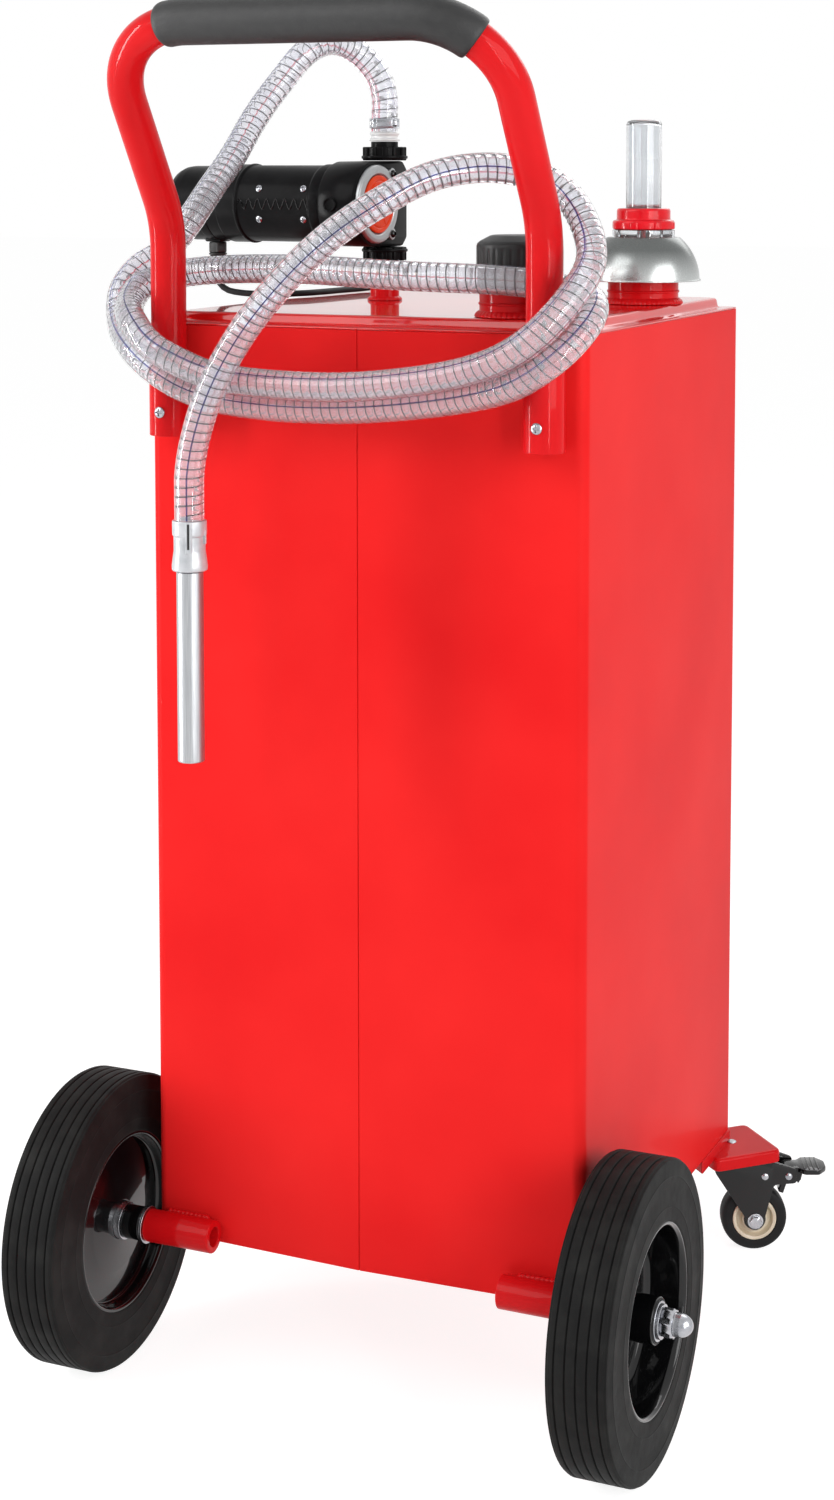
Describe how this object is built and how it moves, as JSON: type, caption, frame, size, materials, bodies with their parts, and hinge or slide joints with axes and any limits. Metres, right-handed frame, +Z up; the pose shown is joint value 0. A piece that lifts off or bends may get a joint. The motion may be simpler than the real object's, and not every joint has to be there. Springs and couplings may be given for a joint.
{
  "type": "fuel caddy",
  "caption": "Upright sheet-steel fuel tank on large wheels and braked swivel casters, with push handle, filler cap, float gauge, electric transfer pump and delivery hose.",
  "frame": {"origin": "centre of the caddy's footprint on the floor, its hose and power cable left out", "axes": "+Z up, +X along the wheel axle, -Y towards the side of the handle and the large wheels"},
  "size_m": [0.5994, 0.8001, 1.1854],
  "materials": {
    "red_paint": "glossy red powder coat",
    "black_foam": "matte foam",
    "tyre_rubber": "dark grey grooved rubber",
    "black_enamel": "glossy black",
    "black_casting": "satin black",
    "bright_steel": "zinc plated",
    "satin_silver": "satin",
    "cream_plastic": "moulded",
    "red_plastic": "moulded",
    "clear_plastic": "clear",
    "black_plastic": "moulded",
    "white_plastic": "moulded",
    "brass": "turned",
    "black_rubber": "smooth"
  },
  "bodies": {
    "caddy": {"tank_shell": "red_paint", "tank_top": "red_paint", "filler_neck": "red_paint", "gauge_neck": "red_paint", "standpipe": "red_paint", "handle": "red_paint", "handle_socket_left": "red_paint", "handle_socket_right": "red_paint", "handle_screw_left": "bright_steel", "handle_screw_right": "bright_steel", "grip": "black_foam", "axle_tube_left": "red_paint", "axle_tube_right": "red_paint", "axle_stud_left": "bright_steel", "axle_stud_right": "bright_steel", "wheel_spacer_left": "black_enamel", "wheel_spacer_right": "black_enamel", "caster_bracket_left": "red_paint", "caster_bracket_right": "red_paint", "caster_plate_left": "bright_steel", "caster_plate_right": "bright_steel", "gauge_dome": "satin_silver", "gauge_collar": "red_plastic", "gauge_body": "clear_plastic", "pump_head": "black_casting", "pump_cover": "satin_silver", "motor_case": "black_casting", "motor_end_cap": "black_casting", "cable_gland": "black_plastic", "bung_adapter": "brass", "suction_tube": "satin_silver", "inlet_union": "black_casting", "outlet_union": "black_casting", "hose_tailpiece": "white_plastic", "hose_clamp": "bright_steel", "hose": "clear_plastic", "nozzle_coupling": "satin_silver", "nozzle_pipe": "satin_silver", "power_cable": "black_rubber", "cable_coil": "black_rubber", "cable_plug": "black_plastic"},
    "wheel_left": {"wheel_tyre_left": "tyre_rubber", "wheel_rim_left": "black_enamel", "wheel_bearing_left": "bright_steel"},
    "wheel_right": {"wheel_tyre_right": "tyre_rubber", "wheel_rim_right": "black_enamel", "wheel_bearing_right": "bright_steel"},
    "caster_left": {"caster_fork_left": "black_enamel"},
    "caster_right": {"caster_fork_right": "black_enamel"},
    "caster_wheel_left": {"caster_tyre_left": "black_rubber", "caster_hub_left": "cream_plastic"},
    "caster_wheel_right": {"caster_tyre_right": "black_rubber", "caster_hub_right": "cream_plastic"},
    "brake_left": {"brake_lever_left": "black_enamel"},
    "brake_right": {"brake_lever_right": "black_enamel"},
    "gasket": {"cap_gasket": "black_rubber"},
    "cap": {"filler_cap": "black_plastic"},
    "indicator": {"gauge_indicator": "red_plastic"},
    "float": {"float_arm": "satin_silver"},
    "rotor": {"pump_rotor": "bright_steel"}
  },
  "joints": [
    {"name": "wheel_spin_left", "type": "hinge", "parent": "caddy", "child": "wheel_left", "pos_m": [-0.245, -0.1815, 0.127], "axis": [1, 0, 0], "continuous": true},
    {"name": "wheel_spin_right", "type": "hinge", "parent": "caddy", "child": "wheel_right", "pos_m": [0.245, -0.1815, 0.127], "axis": [1, 0, 0], "continuous": true},
    {"name": "caster_swivel_left", "type": "hinge", "parent": "caddy", "child": "caster_left", "pos_m": [-0.202, 0.25555, 0.095], "axis": [0, 0, 1], "continuous": true},
    {"name": "caster_swivel_right", "type": "hinge", "parent": "caddy", "child": "caster_right", "pos_m": [0.202, 0.25555, 0.095], "axis": [0, 0, 1], "continuous": true},
    {"name": "caster_spin_left", "type": "hinge", "parent": "caster_left", "child": "caster_wheel_left", "pos_m": [-0.2221, 0.2645, 0.032], "axis": [-0.4067, -0.9135, 0], "continuous": true},
    {"name": "caster_spin_right", "type": "hinge", "parent": "caster_right", "child": "caster_wheel_right", "pos_m": [0.2221, 0.2645, 0.032], "axis": [-0.4067, 0.9135, 0], "continuous": true},
    {"name": "brake_press_left", "type": "hinge", "parent": "caster_left", "child": "brake_left", "pos_m": [-0.25133, 0.27751, 0.0765], "axis": [-0.4067, -0.9135, 0], "range_deg": [0, 18]},
    {"name": "brake_press_right", "type": "hinge", "parent": "caster_right", "child": "brake_right", "pos_m": [0.25133, 0.27751, 0.0765], "axis": [-0.4067, 0.9135, 0], "range_deg": [0, 18]},
    {"name": "cap_lift", "type": "slide", "parent": "caddy", "child": "gasket", "axis": [0, 0, 1], "range_m": [0, 0.0181]},
    {"name": "cap_turn", "type": "hinge", "parent": "gasket", "child": "cap", "pos_m": [0.121, -0.11545, 0.968], "axis": [0, 0, 1], "range_deg": [0, 1080]},
    {"name": "float_swing", "type": "hinge", "parent": "caddy", "child": "float", "pos_m": [0.151, 0.11955, 0.4963], "axis": [0, 1, 0], "range_deg": [0, 130]},
    {"name": "indicator_rise", "type": "slide", "parent": "caddy", "child": "indicator", "axis": [0, 0, 1], "range_m": [0, 0.0655]},
    {"name": "rotor_spin", "type": "hinge", "parent": "caddy", "child": "rotor", "pos_m": [-0.09145, 0.04673, 1.0194], "axis": [0.9945, -0.1045, 0], "continuous": true}
  ],
  "couplings": [
    {"joint": "cap_lift", "follows": "cap_turn", "m_per_rad": 0.00095493},
    {"joint": "indicator_rise", "follows": "float_swing", "m_per_rad": 0.028648}
  ]
}
